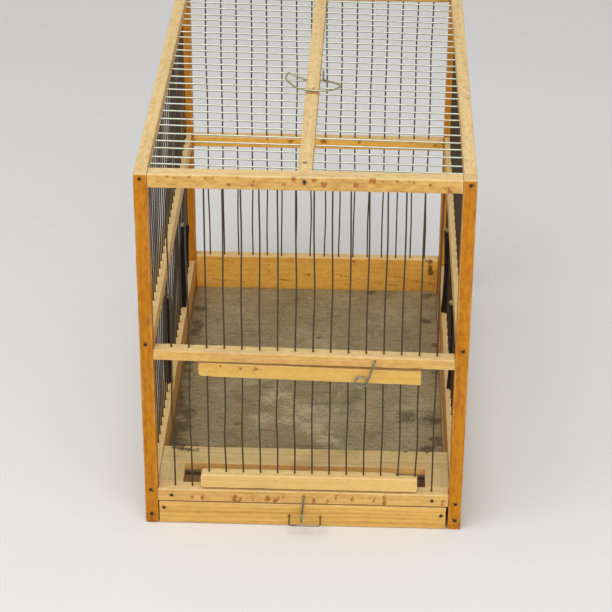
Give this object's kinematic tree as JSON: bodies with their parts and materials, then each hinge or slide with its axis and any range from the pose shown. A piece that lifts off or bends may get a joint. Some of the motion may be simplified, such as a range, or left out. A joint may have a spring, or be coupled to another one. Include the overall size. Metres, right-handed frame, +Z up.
{
  "type": "bird cage",
  "caption": "Wooden bird cage with steel wire walls and roof, a hinged front door, a slide-out floor tray, wire turn catches, a carrying handle and black perch strips in the sides.",
  "frame": {"origin": "middle of the outline seen from above, at the level that the cage stands on", "axes": "+Z up, +X to the right seen from the front, -Y towards the front with the door"},
  "size_m": [0.252, 0.4038, 0.3123],
  "materials": {
    "wood_honey": "varnished honey-orange beech, worn at the edges",
    "wood_pale": "plain pale beech with brown flecks, satin",
    "wood_beech": "plain beech, satin, slightly darkened",
    "wood_weathered": "bare grey-brown wood, dry and cracked",
    "wood_pine": "striped straight-grained softwood, satin",
    "wood_floor": "weathered grey-brown panel with dark stains, matt",
    "wire_dull": "dull brown-grey drawn wire",
    "wire_bright": "bright drawn wire, slightly tarnished",
    "nail_dark": "dark oxidised nail heads",
    "nail_brass": "yellowed bare pin",
    "plastic_black": "black moulded plastic, semi-matt"
  },
  "bodies": {
    "frame": {"post_front_left": "wood_honey", "post_front_right": "wood_honey", "post_rear_left": "wood_honey", "post_rear_right": "wood_honey", "front_top_rail": "wood_pale", "rear_top_rail": "wood_pale", "left_top_rail": "wood_pale", "right_top_rail": "wood_pale", "roof_bar": "wood_pale", "front_mid_rail": "wood_beech", "rear_mid_rail": "wood_beech", "left_mid_rail": "wood_beech", "right_mid_rail": "wood_beech", "front_bottom_rail": "wood_beech", "rear_bottom_board": "wood_beech", "left_bottom_board": "wood_beech", "right_bottom_board": "wood_beech", "ledge_board": "wood_weathered", "ledge_left_block": "wood_weathered", "ledge_right_block": "wood_weathered", "left_runner": "wood_beech", "right_runner": "wood_beech", "front_wires": "wire_dull", "rear_wires": "wire_dull", "left_wires": "wire_dull", "right_wires": "wire_dull", "roof_wires": "wire_bright", "door_hinge_wire": "wire_dull", "front_nails": "nail_dark", "rear_nails": "nail_dark", "side_nails": "nail_dark", "loose_nail": "nail_brass", "perch_strip_front_left": "plastic_black", "perch_strip_front_right": "plastic_black", "perch_strip_rear_left": "plastic_black", "perch_strip_rear_right": "plastic_black", "strip_solder": "wire_bright"},
    "door": {"door_top_bar": "wood_pale", "door_bottom_bar": "wood_pale", "door_wires": "wire_dull"},
    "door_catch": {"door_catch": "wire_bright"},
    "tray": {"tray_front": "wood_pine", "tray_floor": "wood_floor", "tray_left_block": "wood_beech", "tray_right_block": "wood_beech", "tray_nails": "nail_dark", "tray_pull": "wire_bright"},
    "tray_catch": {"tray_catch": "wire_bright"},
    "carry_handle": {"carry_handle": "wire_bright"}
  },
  "joints": [
    {"name": "door_hinge", "type": "hinge", "parent": "frame", "child": "door", "pos_m": [-0.07425, -0.18213, 0.0913], "axis": [0, 0, -1], "range_deg": [0, 150]},
    {"name": "door_catch_turn", "type": "hinge", "parent": "frame", "child": "door_catch", "pos_m": [0.0539, -0.18812, 0.1542], "axis": [0, 1, 0], "range_deg": [-105, 105]},
    {"name": "tray_slide", "type": "slide", "parent": "frame", "child": "tray", "axis": [0, -1, 0], "range_m": [0, 0.3]},
    {"name": "tray_catch_turn", "type": "hinge", "parent": "frame", "child": "tray_catch", "pos_m": [0.0009, -0.18812, 0.0285], "axis": [0, 1, 0], "range_deg": [-90, 90]},
    {"name": "handle_lift", "type": "hinge", "parent": "frame", "child": "carry_handle", "pos_m": [0.00065, -0.00162, 0.3043], "axis": [-1, 0, 0], "range_deg": [0, 80]}
  ]
}
